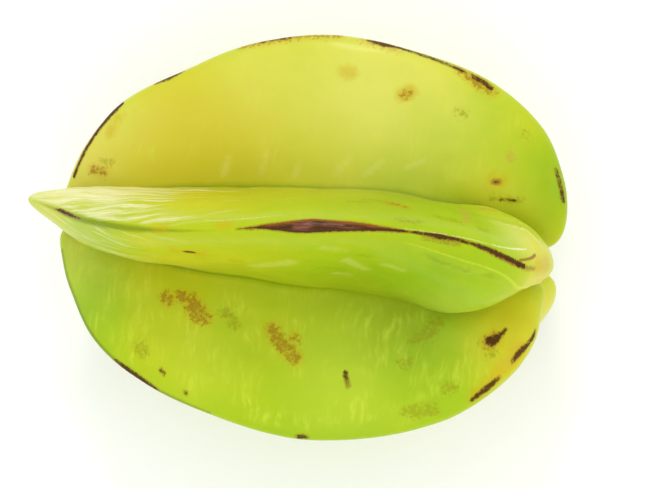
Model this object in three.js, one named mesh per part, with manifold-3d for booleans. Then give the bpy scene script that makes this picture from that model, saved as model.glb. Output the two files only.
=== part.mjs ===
// A star fruit lying on two of its five ribs, as one solid body of flesh and skin.
// Units are millimetres. +Z is up and +X points to the stem end of the fruit.
//
// Each rib has a crest line and each valley has a groove line. All ten lines run from the bottom
// of the stem pit to the blossom end through the same stations. At every step along the fruit the
// section hangs between them: a flat-topped curve that leaves a crest level, swells over the flank
// and runs level into the groove.
import * as THREE from "three";
import { mergeVertices } from "three/addons/utils/BufferGeometryUtils.js";
import Module from "manifold-3d";

const RIB_COUNT = 5;
const RIB_ANGLE = (2 * Math.PI) / RIB_COUNT;
const STEPS_ALONG = 50;
const STEPS_PER_FLANK = 10;

// Turn of the lying fruit: the stem end lifts until the weight stands over the two spots that the
// fruit lies on.
const REST_PITCH = THREE.MathUtils.degToRad(-3.4);
// The two lower crests are pressed flat this deep where they touch the ground.
const PRESSED_DEPTH = 0.4;
const GROUND_SIZE = 300;

// The even star, from the stem pit to the blossom end. Columns: x and radius of a crest, x and
// radius of a groove, level run beside a crest, level run beside a groove, swell of a flank.
const STATIONS = [
  [39.6, 0.0, 39.6, 0.0, 0.0, 0.0, 0.0],
  [39.9, 2.2, 39.7, 2.2, 0.5, 0.4, 0.0],
  [44.6, 3.5, 38.8, 4.8, 1.0, 0.5, 0.8],
  [49.6, 5.8, 37.0, 7.6, 2.2, 0.7, 2.0],
  [51.2, 10.5, 34.8, 10.4, 3.6, 0.9, 3.0],
  [50.2, 17.5, 31.6, 13.0, 4.2, 1.1, 3.6],
  [45.0, 27.2, 26.6, 15.4, 4.2, 1.3, 3.6],
  [34.0, 35.3, 19.4, 16.8, 4.0, 1.4, 3.2],
  [18.8, 39.8, 10.6, 17.2, 3.8, 1.5, 3.0],
  [3.0, 41.6, 1.2, 16.8, 3.6, 1.5, 2.8],
  [-13.0, 38.8, -9.0, 15.4, 3.4, 1.4, 2.8],
  [-27.0, 32.8, -19.6, 13.2, 3.1, 1.3, 2.6],
  [-38.4, 25.2, -29.4, 10.6, 2.8, 1.1, 2.2],
  [-45.4, 15.6, -37.0, 8.0, 2.4, 0.9, 1.6],
  [-48.6, 8.0, -41.8, 5.6, 1.7, 0.7, 0.9],
  [-49.4, 3.4, -44.8, 2.9, 0.9, 0.5, 0.3],
  [-47.0, 0.0, -47.0, 0.0, 0.0, 0.0, 0.0],
];

// How each grown rib strays from the even star. The ribs stand round +X from the top towards +Y.
// crest: [station, shift along X, shift outwards, shift sideways towards the next rib]
// flank: [station, extra swell towards the next rib, extra swell towards the previous rib,
//         extra level run beside the crest]
const RIBS = [
  // The top rib wanders from side to side and ends in a long beak at the blossom end. Near the
  // stem end it swells low on one side, and its last stretch is a keel set off from that swelling.
  {
    crest: [
      [2, -0.4, 0, -1.0],
      [3, -1.0, -0.4, -1.3],
      [4, -1.0, -0.6, -1.5],
      [5, -0.8, 0, -2.1],
      [6, 0, 0, -2.8],
      [7, 0, 0, -0.3],
      [8, 0, 0, 0.2],
      [9, 0, 0, -1.0],
      [10, 0, 0, -2.6],
      [11, 0, 0, -3.0],
      [12, 0, 0, -1.9],
      [13, -1.2, 0, 0.1],
      [14, -6.4, 0, 2.4],
      [15, -4.5, 1.2, 2.0],
    ],
    flank: [
      [3, 2.0, -0.6, 0.3],
      [4, 3.0, -5.0, 0.9],
      [5, 4.0, -1.5, 0.8],
      [6, 3.0, 6.8, 0],
      [7, 0, 4.0, 0],
      [11, 1.5, 2.0, 0],
      [12, 4.0, 4.5, 0],
      [13, 5.0, 4.2, 0.8],
      [14, 3.2, 1.4, 0.4],
      [15, 1.4, 0.2, 0.2],
    ],
  },
  {
    crest: [
      [1, 1.4, -0.3, 0],
      [2, 3.2, -1.0, 0],
      [3, 1.2, -0.6, 0],
      [4, 0.4, 0, 0],
      [10, 0, -0.4, 0],
      [11, 0, -1.2, 0],
      [12, 0, -0.6, 0],
    ],
    flank: [],
  },
  // The two ribs that the fruit lies on.
  {
    crest: [
      [3, -3.5, 0, 0.6],
      [4, -3.5, 0, 1.0],
      [5, -3.0, 0, 1.2],
      [6, -2.0, 0, 0.8],
      [7, -0.5, 0, 0],
      [10, 0, -0.4, -0.8],
      [11, 0, 0, -1.2],
      [12, 0, 0.4, -0.8],
    ],
    flank: [[6, 1.0, 0, 0]],
  },
  {
    crest: [
      [4, -0.8, 0, 0],
      [5, -1.8, 0, -0.4],
      [6, -1.5, -1.0, -0.6],
      [11, 0, -0.6, 0.8],
      [12, 0, -0.4, 1.2],
      [13, 0, 0, 0.8],
    ],
    flank: [[11, 0, 1.0, 0]],
  },
  {
    crest: [
      [3, -1.2, 0, 0],
      [4, -2.8, 0, 0],
      [5, -2.5, -0.4, 0],
      [6, -1.8, -1.8, 0],
      [7, -0.5, -1.2, 0],
      [10, 0, -0.2, 0],
      [11, 0, 0.8, 0],
      [12, 0, 0.8, 0],
    ],
    flank: [],
  },
];

// How each groove strays: [station, shift along X, shift outwards, turn in degrees towards the
// next rib]. A groove follows the rib of the same number.
const GROOVES = [
  [
    [3, 0, 0.8, 4],
    [4, 0, 1.2, 4],
    [5, 0, 1.0, 3],
    [8, 0, -0.6, 0],
    [9, 0, -1.0, 0],
    [10, 0, -0.6, 0],
    [12, 0, 0.6, 0],
    [13, 0, 0.8, 0],
    [14, 0, 0.6, 0],
  ],
  [],
  [],
  [],
  [
    [2, 0, 1.0, -8],
    [3, 0, 2.4, -10],
    [4, 0, 3.0, -12],
    [5, 0, 3.0, -11],
    [6, 0, 2.0, -7],
    [7, 0, 0.6, -3],
    [9, 0, 0.6, 0],
    [10, 0, 0.6, 0],
    [11, 0, 1.2, -2],
    [12, 0, 1.4, -3],
    [13, 0, 1.2, -3],
    [14, 0, 0.8, -3],
  ],
];

const SKIN_COLOUR = 0xb9cc2a;
const SKIN_ROUGHNESS = 0.38;

// Direction straight out from the fruit's own axis at an angle round it.
function outwards(angle) {
  return new THREE.Vector3(0, Math.sin(angle), Math.cos(angle));
}

// Direction round the axis, at a right angle to outwards.
function sideways(angle) {
  return new THREE.Vector3(0, Math.cos(angle), -Math.sin(angle));
}

// The strays of one line, as a lookup from station to its shifts, with zeros in between.
function strayAt(strays, station, width) {
  const found = strays.find((stray) => stray[0] === station);
  return found ? found.slice(1) : new Array(width).fill(0);
}

function splineOf(pairs) {
  return new THREE.SplineCurve(pairs.map(([a, b]) => new THREE.Vector2(a, b)));
}

// The three splines of one rib: its crest line, its sideways drift with its level run, and its
// swell on either side.
function ribLines({ crest, flank }) {
  const line = [];
  const edge = [];
  const swell = [];
  STATIONS.forEach(([x, radius, , , level, , bulge], station) => {
    const [along, out, side] = strayAt(crest, station, 3);
    const [swellNext, swellPrevious, levelExtra] = strayAt(flank, station, 3);
    line.push([x + along, radius + out]);
    edge.push([side, level + levelExtra]);
    swell.push([bulge + swellNext, bulge + swellPrevious]);
  });
  return { line: splineOf(line), edge: splineOf(edge), swell: splineOf(swell) };
}

// The two splines of one groove: its line, and its turn with its level run.
function grooveLines(strays) {
  const line = [];
  const floor = [];
  STATIONS.forEach(([, , x, radius, , level], station) => {
    const [along, out, turn] = strayAt(strays, station, 3);
    line.push([x + along, radius + out]);
    floor.push([turn, level]);
  });
  return { line: splineOf(line), floor: splineOf(floor) };
}

// Points of one flank at the fraction t along the fruit, from the crest to just short of the
// groove. side is 1 for the flank towards the next rib and -1 for the other.
function flankPoints(rib, ribIndex, groove, side, t) {
  const ribAngle = ribIndex * RIB_ANGLE;
  const crestAt = rib.line.getPoint(t);
  const edgeAt = rib.edge.getPoint(t);
  const swellAt = rib.swell.getPoint(t);
  const grooveAt = groove.line.getPoint(t);
  const floorAt = groove.floor.getPoint(t);
  const grooveAngle = ribAngle + (side * RIB_ANGLE) / 2 + THREE.MathUtils.degToRad(floorAt.x);

  const crest = outwards(ribAngle).multiplyScalar(crestAt.y);
  crest.addScaledVector(sideways(ribAngle), edgeAt.x);
  crest.x = crestAt.x;
  const bottom = outwards(grooveAngle).multiplyScalar(grooveAt.y);
  bottom.x = grooveAt.x;
  const besideCrest = crest.clone().addScaledVector(sideways(ribAngle), side * edgeAt.y);
  const swellOut = side > 0 ? swellAt.x : swellAt.y;
  const middle = crest.clone().lerp(bottom, 0.5);
  middle.addScaledVector(sideways(ribAngle), side * swellOut);
  const besideGroove = bottom.clone().addScaledVector(sideways(grooveAngle), -side * floorAt.y);

  const points = [];
  for (let step = 0; step < STEPS_PER_FLANK; step += 1) {
    const q = step / STEPS_PER_FLANK;
    const p = 1 - q;
    const point = crest.clone().multiplyScalar(p ** 4);
    point.addScaledVector(besideCrest, 4 * q * p ** 3);
    point.addScaledVector(middle, 6 * q ** 2 * p ** 2);
    point.addScaledVector(besideGroove, 4 * q ** 3 * p);
    point.addScaledVector(bottom, q ** 4);
    points.push(point);
  }
  return { points, bottom };
}

// One closed ring of points round the fruit at the fraction t along it.
function ringAt(ribs, grooves, t) {
  const ring = [];
  ribs.forEach((rib, index) => {
    const before = grooves[(index + RIB_COUNT - 1) % RIB_COUNT];
    const rising = flankPoints(rib, index, before, -1, t);
    const falling = flankPoints(rib, index, grooves[index], 1, t);
    ring.push(rising.bottom, ...rising.points.slice(1).reverse(), ...falling.points);
  });
  return ring;
}

// The whole skin: rings along the fruit, closed by a point at either end.
function fruitGeometry() {
  const ribs = RIBS.map(ribLines);
  const grooves = GROOVES.map(grooveLines);
  const points = [];
  for (let step = 1; step < STEPS_ALONG; step += 1) {
    points.push(...ringAt(ribs, grooves, step / STEPS_ALONG));
  }
  const ringCount = STEPS_ALONG - 1;
  const around = points.length / ringCount;
  const stemPoint = points.length;
  const blossomPoint = stemPoint + 1;
  const firstStation = STATIONS[0];
  const lastStation = STATIONS[STATIONS.length - 1];
  points.push(new THREE.Vector3(firstStation[0], 0, 0), new THREE.Vector3(lastStation[0], 0, 0));

  const faces = [];
  for (let ring = 0; ring < ringCount - 1; ring += 1) {
    for (let i = 0; i < around; i += 1) {
      const next = (i + 1) % around;
      const a = ring * around + i;
      const b = ring * around + next;
      const c = b + around;
      const d = a + around;
      faces.push(a, c, d, a, b, c);
    }
  }
  const lastRing = (ringCount - 1) * around;
  for (let i = 0; i < around; i += 1) {
    const next = (i + 1) % around;
    faces.push(stemPoint, next, i);
    faces.push(blossomPoint, lastRing + i, lastRing + next);
  }
  const geometry = new THREE.BufferGeometry().setFromPoints(points);
  geometry.setIndex(faces);
  return geometry;
}

const wasm = await Module();
wasm.setup();

function solidOf(geometry) {
  const vertProperties = new Float32Array(geometry.getAttribute("position").array);
  const triVerts = new Uint32Array(geometry.getIndex().array);
  return new wasm.Manifold(new wasm.Mesh({ numProp: 3, vertProperties, triVerts }));
}

function geometryOf(solid) {
  const { vertProperties, triVerts } = solid.getMesh();
  const geometry = new THREE.BufferGeometry();
  geometry.setAttribute("position", new THREE.BufferAttribute(vertProperties, 3));
  geometry.setIndex(new THREE.BufferAttribute(triVerts, 1));
  return geometry;
}

// The ground as a closed block whose top is at the height 0.
function groundGeometry() {
  const half = GROUND_SIZE / 2;
  const outline = new THREE.Shape();
  outline.moveTo(-half, -half);
  outline.lineTo(half, -half);
  outline.lineTo(half, half);
  outline.lineTo(-half, half);
  const block = new THREE.ExtrudeGeometry(outline, { depth: half, bevelEnabled: false });
  block.translate(0, 0, -half);
  block.deleteAttribute("normal");
  block.deleteAttribute("uv");
  return mergeVertices(block);
}

// The fruit turned as it lies, sunk into the ground by the pressed depth and trimmed level there,
// with the middle of its outline over the origin.
function lyingFruit() {
  const whole = fruitGeometry();
  whole.rotateY(REST_PITCH);
  whole.computeBoundingBox();
  whole.translate(0, 0, -whole.boundingBox.min.z - PRESSED_DEPTH);
  const trimmed = geometryOf(solidOf(whole).subtract(solidOf(groundGeometry())));
  trimmed.computeBoundingBox();
  const middle = trimmed.boundingBox.getCenter(new THREE.Vector3());
  trimmed.translate(-middle.x, -middle.y, 0);
  trimmed.computeVertexNormals();
  return trimmed;
}

const fruit = new THREE.Mesh(
  lyingFruit(),
  new THREE.MeshStandardMaterial({
    color: SKIN_COLOUR,
    roughness: SKIN_ROUGHNESS,
    metalness: 0,
  }),
);
fruit.name = "star_fruit";

const starFruit = new THREE.Group();
starFruit.name = "star_fruit_group";
starFruit.add(fruit);

export default starFruit;
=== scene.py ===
# A star fruit lying on its two lower ribs: its skin, its finish and marks, and the studio.
# Form values are in millimetres and match the solid; everything Blender gets is in metres.
import math
import random

import bmesh
import bpy
import numpy as np
from mathutils import Matrix, Vector
from mathutils import noise as fractal


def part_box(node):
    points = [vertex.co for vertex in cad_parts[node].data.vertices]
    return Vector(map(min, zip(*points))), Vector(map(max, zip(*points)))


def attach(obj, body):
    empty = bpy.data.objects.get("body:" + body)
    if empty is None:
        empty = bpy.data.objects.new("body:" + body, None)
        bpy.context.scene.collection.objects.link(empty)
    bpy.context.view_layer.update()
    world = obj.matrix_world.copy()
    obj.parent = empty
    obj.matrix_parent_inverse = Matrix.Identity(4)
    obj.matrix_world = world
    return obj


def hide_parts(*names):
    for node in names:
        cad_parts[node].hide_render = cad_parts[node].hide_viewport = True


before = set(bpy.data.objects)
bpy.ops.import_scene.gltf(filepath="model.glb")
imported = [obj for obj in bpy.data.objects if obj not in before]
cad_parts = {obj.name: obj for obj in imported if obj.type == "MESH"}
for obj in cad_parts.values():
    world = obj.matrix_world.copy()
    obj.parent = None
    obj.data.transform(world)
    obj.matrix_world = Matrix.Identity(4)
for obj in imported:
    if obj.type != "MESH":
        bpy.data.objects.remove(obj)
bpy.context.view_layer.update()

NODE = "star_fruit"
BODY = "root"
MM = 0.001

bl_info = {
    "name": "Star fruit",
    "version": (1, 0, 0),
    "blender": (4, 5, 0),
    "location": "3D View > Sidebar > Star fruit",
    "description": "Builds the skin, finish and studio of a star fruit on its packed solid",
    "category": "Object",
}

RIB_COUNT = 5
RIB_ANGLE = 2 * math.pi / RIB_COUNT
REST_PITCH = math.radians(-3.4)

# The even star, from the stem pit to the blossom end. Columns: x and radius of a crest, x and
# radius of a groove, level run beside a crest, level run beside a groove, swell of a flank.
STATIONS = [
    (39.6, 0.0, 39.6, 0.0, 0.0, 0.0, 0.0),
    (39.9, 2.2, 39.7, 2.2, 0.5, 0.4, 0.0),
    (44.6, 3.5, 38.8, 4.8, 1.0, 0.5, 0.8),
    (49.6, 5.8, 37.0, 7.6, 2.2, 0.7, 2.0),
    (51.2, 10.5, 34.8, 10.4, 3.6, 0.9, 3.0),
    (50.2, 17.5, 31.6, 13.0, 4.2, 1.1, 3.6),
    (45.0, 27.2, 26.6, 15.4, 4.2, 1.3, 3.6),
    (34.0, 35.3, 19.4, 16.8, 4.0, 1.4, 3.2),
    (18.8, 39.8, 10.6, 17.2, 3.8, 1.5, 3.0),
    (3.0, 41.6, 1.2, 16.8, 3.6, 1.5, 2.8),
    (-13.0, 38.8, -9.0, 15.4, 3.4, 1.4, 2.8),
    (-27.0, 32.8, -19.6, 13.2, 3.1, 1.3, 2.6),
    (-38.4, 25.2, -29.4, 10.6, 2.8, 1.1, 2.2),
    (-45.4, 15.6, -37.0, 8.0, 2.4, 0.9, 1.6),
    (-48.6, 8.0, -41.8, 5.6, 1.7, 0.7, 0.9),
    (-49.4, 3.4, -44.8, 2.9, 0.9, 0.5, 0.3),
    (-47.0, 0.0, -47.0, 0.0, 0.0, 0.0, 0.0),
]
LAST_STATION = len(STATIONS) - 1

# How each grown rib strays from the even star, round +X from the top towards +Y.
# crest: station: (shift along X, shift outwards, shift sideways towards the next rib)
# flank: station: (extra swell to the next rib, extra swell to the previous rib, extra level run)
RIBS = [
    {
        "crest": {
            2: (-0.4, 0, -1.0), 3: (-1.0, -0.4, -1.3), 4: (-1.0, -0.6, -1.5), 5: (-0.8, 0, -2.1),
            6: (0, 0, -2.8), 7: (0, 0, -0.3), 8: (0, 0, 0.2), 9: (0, 0, -1.0),
            10: (0, 0, -2.6), 11: (0, 0, -3.0), 12: (0, 0, -1.9), 13: (-1.2, 0, 0.1),
            14: (-6.4, 0, 2.4), 15: (-4.5, 1.2, 2.0),
        },
        "flank": {
            3: (2.0, -0.6, 0.3), 4: (3.0, -5.0, 0.9), 5: (4.0, -1.5, 0.8), 6: (3.0, 6.8, 0),
            7: (0, 4.0, 0), 11: (1.5, 2.0, 0), 12: (4.0, 4.5, 0), 13: (5.0, 4.2, 0.8),
            14: (3.2, 1.4, 0.4), 15: (1.4, 0.2, 0.2),
        },
    },
    {
        "crest": {
            1: (1.4, -0.3, 0), 2: (3.2, -1.0, 0), 3: (1.2, -0.6, 0), 4: (0.4, 0, 0),
            10: (0, -0.4, 0), 11: (0, -1.2, 0), 12: (0, -0.6, 0),
        },
        "flank": {},
    },
    {
        "crest": {
            3: (-3.5, 0, 0.6), 4: (-3.5, 0, 1.0), 5: (-3.0, 0, 1.2), 6: (-2.0, 0, 0.8),
            7: (-0.5, 0, 0), 10: (0, -0.4, -0.8), 11: (0, 0, -1.2), 12: (0, 0.4, -0.8),
        },
        "flank": {6: (1.0, 0, 0)},
    },
    {
        "crest": {
            4: (-0.8, 0, 0), 5: (-1.8, 0, -0.4), 6: (-1.5, -1.0, -0.6),
            11: (0, -0.6, 0.8), 12: (0, -0.4, 1.2), 13: (0, 0, 0.8),
        },
        "flank": {11: (0, 1.0, 0)},
    },
    {
        "crest": {
            3: (-1.2, 0, 0), 4: (-2.8, 0, 0), 5: (-2.5, -0.4, 0), 6: (-1.8, -1.8, 0),
            7: (-0.5, -1.2, 0), 10: (0, -0.2, 0), 11: (0, 0.8, 0), 12: (0, 0.8, 0),
        },
        "flank": {},
    },
]

# How each groove strays: station: (shift along X, shift outwards, turn in degrees to the next rib).
GROOVES = [
    {
        3: (0, 0.8, 4), 4: (0, 1.2, 4), 5: (0, 1.0, 3), 8: (0, -0.6, 0), 9: (0, -1.0, 0),
        10: (0, -0.6, 0), 12: (0, 0.6, 0), 13: (0, 0.8, 0), 14: (0, 0.6, 0),
    },
    {},
    {},
    {},
    {
        2: (0, 1.0, -8), 3: (0, 2.4, -10), 4: (0, 3.0, -12), 5: (0, 3.0, -11), 6: (0, 2.0, -7),
        7: (0, 0.6, -3), 9: (0, 0.6, 0), 10: (0, 0.6, 0), 11: (0, 1.2, -2), 12: (0, 1.4, -3),
        13: (0, 1.2, -3), 14: (0, 0.8, -3),
    },
]

NO_STRAY = (0, 0, 0)

# A place on the skin is (station, across): across is 0 on the crest, 1 in the next groove and -1
# in the previous one.

# Raised rims on the nose of the top rib: half width in mm, height in mm, line of places.
RIMS = [
    (0.5, 0.25, [
        (7.9, -0.11), (7.5, -0.13), (7.2, -0.16), (6.9, -0.165), (6.6, -0.15), (6.3, -0.14)]),
    (0.5, 0.45, [
        (6.3, -0.14), (6.05, -0.165), (5.85, -0.20), (5.4, -0.22), (4.8, -0.21)]),
    (0.7, 0.35, [
        (6.3, 0.42), (5.9, 0.38), (5.6, 0.34), (5.3, 0.30), (5.2, 0.22), (5.3, 0.15)]),
]
# Shallow furrows beside those rims, in the same form.
FURROWS = [
    (0.8, 0.45, [
        (7.2, -0.27), (6.9, -0.29), (6.6, -0.25), (6.3, -0.23), (6.05, -0.25), (5.8, -0.30)]),
    (0.7, 0.25, [
        (6.1, 0.50), (5.7, 0.44), (5.3, 0.40), (5.0, 0.30)]),
]

# Marks, for each kind and rib: lines of places with the half width in mm at each.
MARKS = {
    ("umber", 0): [
        [(9.52, -0.02, 0.15), (9.40, -0.01, 0.3)],
        [(7.5, -0.05, 0.2), (7.2, -0.055, 0.35), (7.0, -0.05, 0.2)],
        [(6.6, -0.02, 0.3), (6.2, -0.03, 0.4), (5.8, -0.04, 0.4), (5.6, -0.03, 0.25)],
    ],
    ("stain", 0): [
        [(5.5, 0.0, 1.3), (5.1, 0.0, 1.5)], [(10.72, 0.01, 0.6), (10.58, 0.01, 0.6)],
        [(9.86, 0.05, 0.6), (9.72, 0.05, 0.6)], [(10.6, -0.30, 0.8), (10.2, -0.35, 0.8)],
        [(9.85, -0.45, 0.7), (9.75, -0.46, 0.7)],
    ],
    ("olive", 0): [
        [(8.28, 0.40, 0.5), (8.08, 0.38, 0.6)],
        [(8.06, 0.46, 0.4), (7.85, 0.43, 0.6), (7.7, 0.39, 0.9), (7.52, 0.33, 0.5)],
        [(7.75, 0.14, 0.4), (7.5, 0.14, 0.4)], [(7.2, 0.27, 0.7), (6.92, 0.25, 0.7)],
        [(6.65, 0.22, 0.4), (6.5, 0.22, 0.4)], [(8.08, -0.32, 0.4), (7.98, -0.33, 0.4)],
    ],
    ("rust", 0): [
        [(7.74, 0.41, 0.5), (7.56, 0.35, 0.5)],
    ],
    ("blush", 0): [
        [(6.3, 0.55, 0.6), (6.45, 0.45, 0.8), (6.75, 0.28, 0.8)],
        [(5.6, 0.60, 0.5), (5.3, 0.54, 0.5)],
    ],
    # Painted highlight along the upper rim of the nose.
    ("rim", 0): [
        [(6.2, 0.42, 0.15), (5.9, 0.38, 0.3), (5.6, 0.34, 0.35), (5.3, 0.30, 0.3),
         (5.25, 0.2, 0.2)],
    ],
    # Painted shade in the furrow under the lower rim of the nose.
    ("shade", 0): [
        [(7.4, -0.21, 0.2), (6.9, -0.25, 0.3), (6.6, -0.21, 0.3), (6.3, -0.19, 0.25)],
    ],
    ("line", 0): [
        [(10.44, -0.32, 0.5), (10.34, -0.33, 0.5)],
    ],
    ("pale", 0): [
        [(9.6, -0.55, 1.2), (9.0, -0.45, 1.2)], [(8.25, -0.40, 0.9), (7.95, -0.48, 1.1)],
        [(8.3, -0.62, 0.7), (8.1, -0.62, 0.7)], [(8.6, -0.26, 0.6), (8.3, -0.28, 0.6)],
        [(7.75, -0.38, 0.6), (7.5, -0.38, 0.5)],
    ],
    ("line", 1): [
        [(11.38, -0.03, 0.3), (11.15, -0.04, 0.6), (10.95, -0.03, 0.3)],
        [(9.9, -0.01, 0.3), (9.5, -0.02, 0.35)],
        [(8.55, -0.03, 0.3), (8.4, -0.04, 0.7), (8.2, -0.04, 0.4)],
        [(8.2, -0.03, 0.25), (7.7, -0.05, 0.35), (7.3, -0.07, 0.4)],
        [(7.2, -0.08, 0.4), (7.0, -0.09, 0.6), (6.88, -0.10, 0.4)],
        [(5.2, -0.12, 0.3), (4.9, -0.12, 0.4), (4.5, -0.12, 0.5), (4.35, -0.11, 0.3)],
        [(5.47, -0.55, 0.16), (5.44, -0.54, 0.16)],
        [(4.78, -0.61, 0.08), (4.70, -0.56, 0.16), (4.62, -0.51, 0.08)],
    ],
    ("rust", 1): [
        [(10.1, -0.02, 0.4), (9.7, -0.04, 0.5), (9.3, -0.03, 0.5), (8.9, -0.03, 0.4)],
        [(7.35, -0.09, 0.5), (7.1, -0.11, 1.0), (6.85, -0.13, 0.7)],
        [(7.85, -0.36, 0.5), (7.79, -0.34, 0.5)], [(13.22, -0.42, 0.5), (13.0, -0.54, 0.6)],
    ],
    ("blush", 1): [
        [(8.6, -0.05, 0.8), (8.15, -0.06, 0.8)], [(5.90, -0.38, 0.6), (5.82, -0.38, 0.6)],
    ],
    ("stain", 1): [
        [(7.86, -0.36, 1.1), (7.77, -0.33, 1.1)], [(8.75, -0.30, 0.9), (8.65, -0.31, 0.9)],
        [(5.50, -0.56, 1.3), (5.42, -0.53, 1.2)], [(12.40, -0.26, 0.8), (12.30, -0.25, 0.8)],
        [(12.18, -0.20, 0.7), (12.10, -0.20, 0.7)],
    ],
    ("olive", 1): [
        [(7.03, -0.35, 0.6), (6.97, -0.35, 0.6)],
        [(4.86, -0.65, 0.3), (4.72, -0.57, 0.4), (4.58, -0.48, 0.3)],
        [(6.04, -0.22, 0.4), (5.96, -0.22, 0.4)], [(12.88, -0.44, 0.4), (12.68, -0.50, 0.4)],
    ],
    ("umber", 1): [
        [(5.49, -0.56, 0.5), (5.42, -0.53, 0.45)],
    ],
    ("pale", 1): [
        [(10.6, -0.82, 0.4), (10.45, -0.72, 0.5)], [(9.9, -0.82, 0.4), (9.8, -0.70, 0.5)],
        [(9.3, -0.84, 0.3), (9.2, -0.76, 0.4)], [(8.5, -0.84, 0.5), (8.3, -0.72, 0.6)],
        [(7.9, -0.82, 0.4), (7.7, -0.72, 0.5)], [(7.2, -0.72, 0.3), (7.0, -0.66, 0.4)],
    ],
    ("rust", 4): [
        [(11.28, 0.66, 0.9), (11.20, 0.64, 0.9)],
        [(11.05, 0.70, 0.7), (10.85, 0.68, 1.3), (10.65, 0.62, 1.6), (10.5, 0.60, 1.2)],
        [(9.37, 0.63, 1.0), (9.2, 0.57, 1.0), (9.05, 0.53, 1.2), (8.95, 0.51, 1.0)],
        [(9.0, 0.61, 0.45), (8.96, 0.60, 0.45)], [(5.70, 0.41, 1.0), (5.5, 0.39, 1.1)],
    ],
    ("olive", 4): [
        [(10.2, 0.66, 1.0), (10.1, 0.64, 0.9), (9.95, 0.60, 0.6)],
        [(11.3, 0.31, 1.0), (11.2, 0.29, 1.0)],
        [(6.95, 0.59, 0.8), (6.6, 0.63, 1.2), (6.2, 0.70, 1.1)],
        [(7.38, 0.47, 0.5), (7.2, 0.47, 0.5)], [(5.92, 0.33, 0.6), (5.86, 0.32, 0.6)],
        [(6.9, 0.28, 0.9), (6.8, 0.27, 0.9)], [(7.5, 0.20, 1.1), (7.2, 0.17, 1.1)],
    ],
    ("line", 4): [
        [(10.84, 0.24, 0.4), (10.78, 0.22, 0.4)], [(10.42, 0.16, 0.4), (10.38, 0.15, 0.4)],
        [(8.22, 0.45, 0.4), (8.2, 0.38, 0.4)],
        [(5.64, 0.40, 0.9), (5.52, 0.39, 0.8), (5.3, 0.38, 0.35), (5.1, 0.38, 0.25)],
        [(5.7, 0.15, 0.4), (5.45, 0.15, 0.65), (5.2, 0.12, 0.4), (4.95, 0.10, 0.4),
         (4.75, 0.10, 0.2)],
        [(6.65, 0.10, 0.35), (6.35, 0.11, 0.6), (6.1, 0.12, 0.35)],
        [(8.92, 0.05, 0.5), (8.8, 0.05, 0.5)],
        [(11.55, 0.05, 0.4), (11.3, 0.05, 0.7), (11.0, 0.04, 0.6), (10.8, 0.03, 0.3)],
    ],
    ("stain", 4): [
        [(6.6, 0.12, 0.9), (6.0, 0.16, 1.6), (5.4, 0.17, 1.6)],
    ],
}

# Fine lines that run lengthwise: kind, rib, line of places with the half width in mm at each.
FINE_LINES = [
    ("scar", 0, [
        (7.7, 0.0, 0.10), (7.95, 0.0, 0.35), (8.2, 0.005, 0.7), (8.5, 0.01, 1.1),
        (8.75, 0.015, 1.45), (8.95, 0.0, 1.2), (9.2, 0.0, 0.6), (9.35, 0.0, 0.25),
        (9.46, -0.005, 0.03), (9.6, -0.015, -0.05), (9.68, -0.02, -0.25)]),
    ("dark", 0, [
        (5.85, -0.03, 0.15), (6.05, -0.02, 0.42), (6.3, -0.005, 0.42), (6.5, 0.0, 0.48),
        (6.7, 0.0, 0.36), (6.85, 0.0, 0.20), (6.95, 0.0, 0.22), (7.1, 0.0, 0.34), (7.28, 0.0, 0.42),
        (7.45, 0.0, 0.28), (7.6, 0.0, 0.12), (7.8, 0.0, 0.08)]),
    ("dark", 0, [
        (12.2, -0.025, -0.1), (12.45, -0.015, 0.12), (12.7, -0.01, 0.27), (12.95, 0.0, 0.25),
        (13.1, 0.0, 0.1), (13.2, 0.0, -0.1)]),
    ("branch", 0, [
        (5.48, 0.11, 0.0), (5.56, 0.10, 0.3), (5.7, 0.075, 0.22), (5.9, 0.05, 0.16),
        (6.1, 0.02, 0.18)]),
    ("dark", 1, [
        (11.9, -0.04, 0.3), (12.1, -0.05, 0.8), (12.35, -0.08, 0.6), (12.7, -0.10, 0.4),
        (13.25, -0.16, 0.35), (13.85, -0.20, 0.25)]),
    ("leaf", 0, [
        (9.8, -0.03, -0.4), (10.4, -0.03, 0.1), (11.0, -0.03, 0.5), (11.5, -0.03, 0.6),
        (12.0, -0.03, 0.6), (12.5, -0.02, 0.55), (12.95, -0.01, 0.4), (13.3, 0.0, 0.1),
        (13.9, 0.0, -0.4)]),
    ("leaf", 4, [
        (10.0, 0.03, 0.2), (10.9, 0.03, 0.35), (11.6, 0.05, 0.4), (12.6, 0.08, 0.4),
        (13.4, 0.11, 0.35), (14.2, 0.14, 0.2)]),
    # Painted highlights: pale lines just above the crest of rib 0, brightest near the nose.
    ("pale", 0, [
        (5.75, 0.15, 0.0), (5.95, 0.145, 0.22), (6.15, 0.125, 0.14), (6.4, 0.09, 0.02),
        (6.7, 0.055, -0.02), (7.1, 0.035, -0.02), (7.6, 0.032, -0.06), (8.0, 0.03, -0.2)]),
    ("pale", 0, [
        (9.0, 0.17, -0.15), (9.4, 0.13, -0.02), (9.9, 0.11, -0.03), (10.4, 0.10, -0.2)]),
    # Painted highlight along the lower rim of the nose.
    ("rim", 0, [
        (5.3, -0.22, 0.1), (5.85, -0.20, 0.35), (6.05, -0.165, 0.25), (6.3, -0.14, 0.15),
        (6.6, -0.15, 0.08), (6.9, -0.165, 0.05), (7.2, -0.16, 0.04), (7.5, -0.13, 0.0),
        (7.9, -0.11, -0.2)]),
]
FINE_KINDS = ("scar", "dark", "branch", "leaf", "pale", "rim")
WASH_FIELDS = ("ripe", "pallor", "dusk", "bright")
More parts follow.
